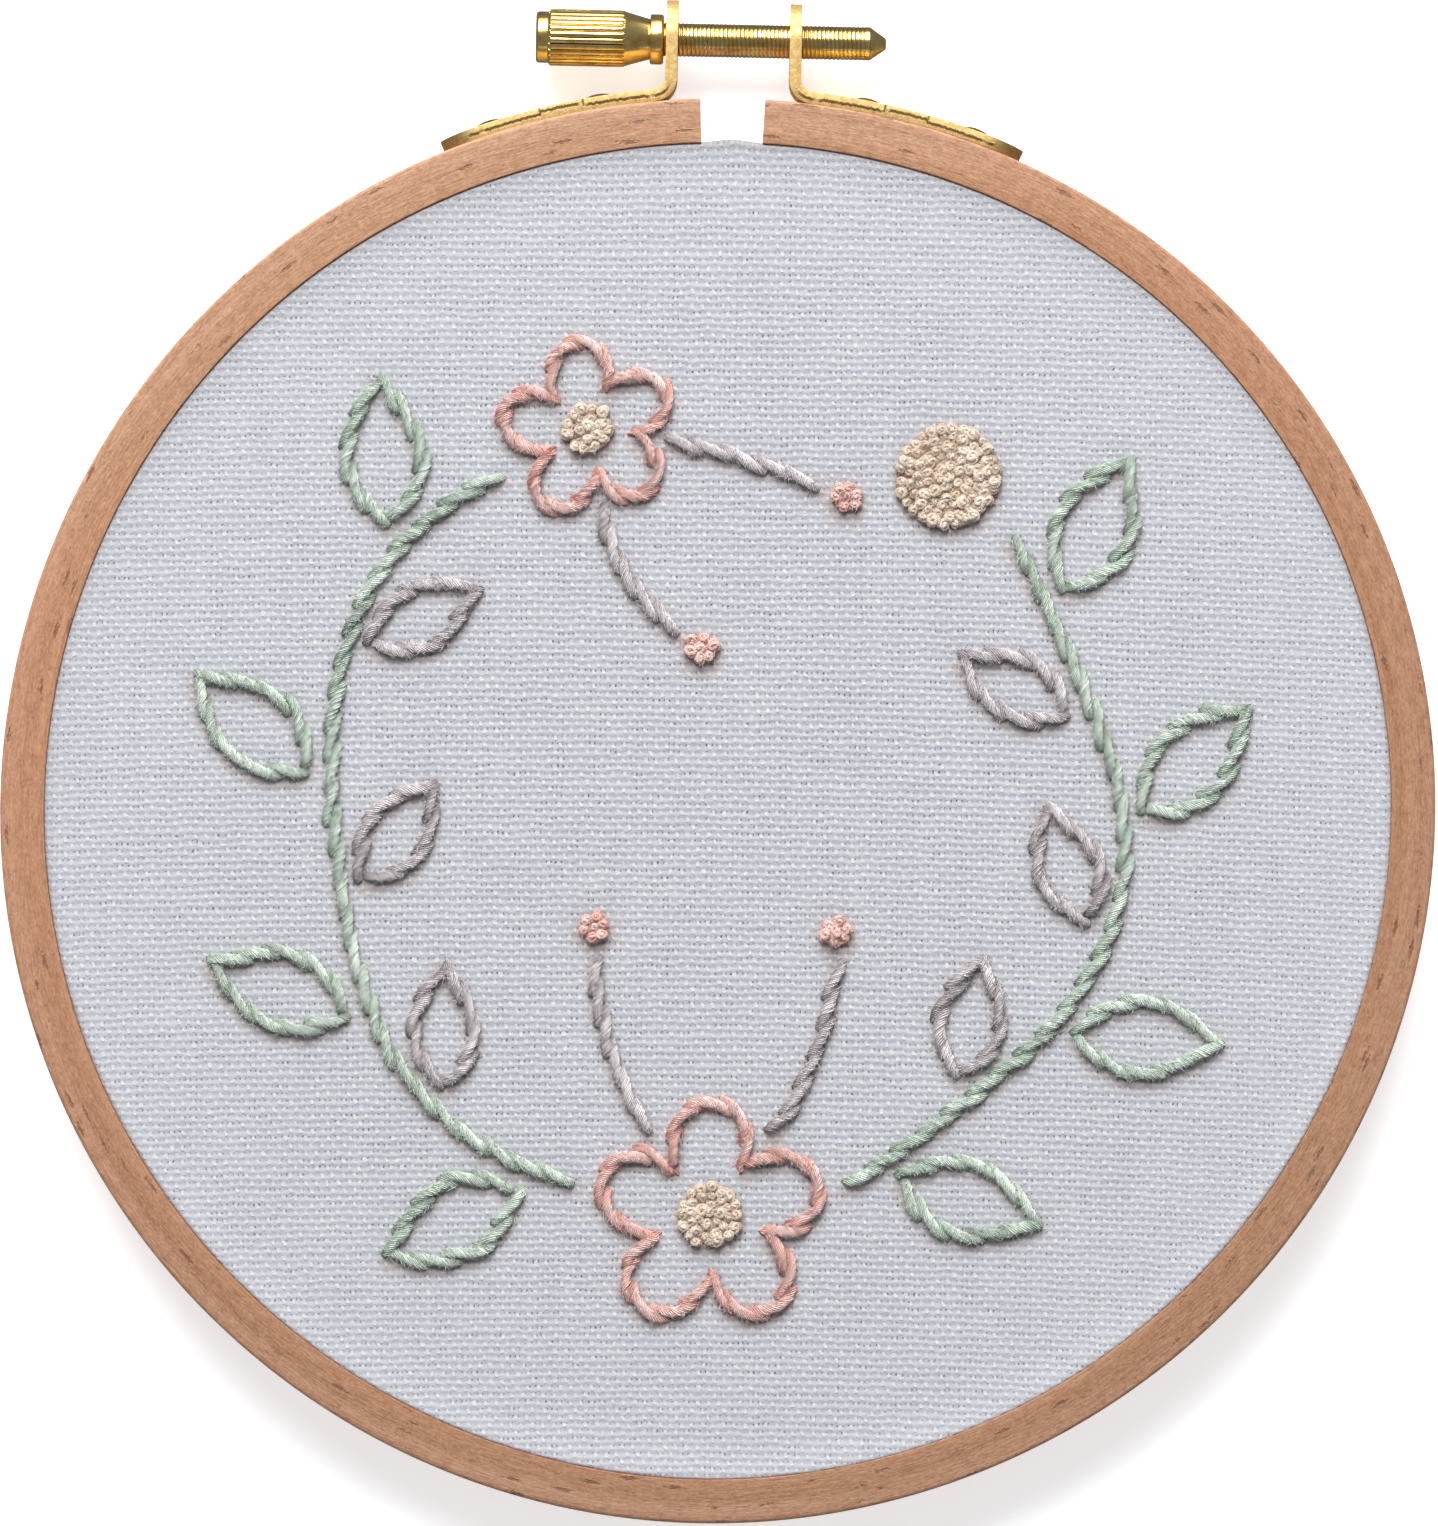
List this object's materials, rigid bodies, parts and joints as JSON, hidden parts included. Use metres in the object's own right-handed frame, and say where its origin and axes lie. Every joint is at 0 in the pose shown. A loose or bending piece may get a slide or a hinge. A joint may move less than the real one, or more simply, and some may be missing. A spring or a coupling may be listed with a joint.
{
  "type": "hoop embroidery art, embroidered cloth in a wooden embroidery hoop",
  "caption": "Round embroidered cloth held drum-tight in a split wooden hoop that a brass thumbscrew closes.",
  "frame": {"origin": "on the surface that the hoop's back lies on, under the middle of the whole object's outline", "axes": "+Z out of the worked face, +Y towards the screw at the top of the work, +X to the right of the work"},
  "size_m": [0.1676, 0.178, 0.0109],
  "materials": {
    "beech": "sanded, bare, fine flecks",
    "cotton": "plain weave, matt",
    "brass": "bright, lightly worn",
    "green_thread": "stranded cotton, soft sheen",
    "lilac_thread": "stranded cotton, soft sheen",
    "pink_thread": "stranded cotton, soft sheen",
    "cream_thread": "stranded cotton, soft sheen"
  },
  "bodies": {
    "hoop": {"bloom": "cream_thread", "bracket_left": "brass", "bracket_right": "brass", "bud_high_middle": "pink_thread", "bud_high_right": "pink_thread", "bud_low_left": "pink_thread", "bud_low_right": "pink_thread", "cloth": "cotton", "flower_bottom": "pink_thread", "flower_top": "pink_thread", "inner_hoop": "beech", "knots_bottom": "cream_thread", "knots_top": "cream_thread", "leaf_left_1": "green_thread", "leaf_left_2": "lilac_thread", "leaf_left_3": "green_thread", "leaf_left_4": "lilac_thread", "leaf_left_5": "green_thread", "leaf_left_6": "lilac_thread", "leaf_left_7": "green_thread", "leaf_right_1": "green_thread", "leaf_right_2": "lilac_thread", "leaf_right_3": "green_thread", "leaf_right_4": "lilac_thread", "leaf_right_5": "green_thread", "leaf_right_6": "lilac_thread", "leaf_right_7": "green_thread", "outer_hoop": "beech", "rivet_left_in": "brass", "rivet_left_out": "brass", "rivet_right_in": "brass", "rivet_right_out": "brass", "sprig_high_middle": "lilac_thread", "sprig_high_right": "lilac_thread", "sprig_low_left": "lilac_thread", "sprig_low_right": "lilac_thread", "vine_left": "green_thread", "vine_right": "green_thread"},
    "screw": {"thumbscrew": "brass"}
  },
  "joints": [
    {"name": "screw_turn", "type": "hinge", "parent": "hoop", "child": "screw", "pos_m": [0, 0.08457, 0.005], "axis": [1, 0, 0], "continuous": true}
  ]
}
